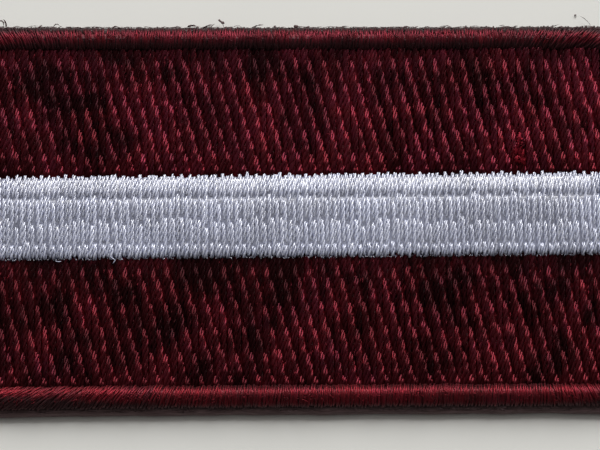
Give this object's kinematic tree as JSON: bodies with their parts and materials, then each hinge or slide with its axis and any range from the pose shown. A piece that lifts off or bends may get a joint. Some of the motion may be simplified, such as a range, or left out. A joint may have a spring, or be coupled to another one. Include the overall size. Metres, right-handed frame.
{
  "type": "embroidered flag patch",
  "caption": "Flat embroidered flag patch with a white stripe between maroon fields, a raised satin stitched border with rounded corners, and a stiff cloth backing to sew or iron on.",
  "frame": {"origin": "middle of the underside, on the surface that the patch lies on", "axes": "+X along the stripe, towards its higher end; +Y towards the top of the flag; +Z out of the stitched face"},
  "size_m": [0.0636, 0.038, 0.002],
  "materials": {
    "backing": "stiffened dark grey brown twill with a smooth hot cut edge",
    "border_thread": "glossy maroon thread in close satin stitches across the border",
    "maroon_thread": "glossy maroon two ply thread in long rows of fill stitches",
    "white_thread": "glossy white two ply thread in long rows of fill stitches"
  },
  "bodies": {
    "root": {"backing_cloth": "backing", "border": "border_thread", "upper_field": "maroon_thread", "white_stripe": "white_thread", "lower_field": "maroon_thread"}
  },
  "joints": []
}
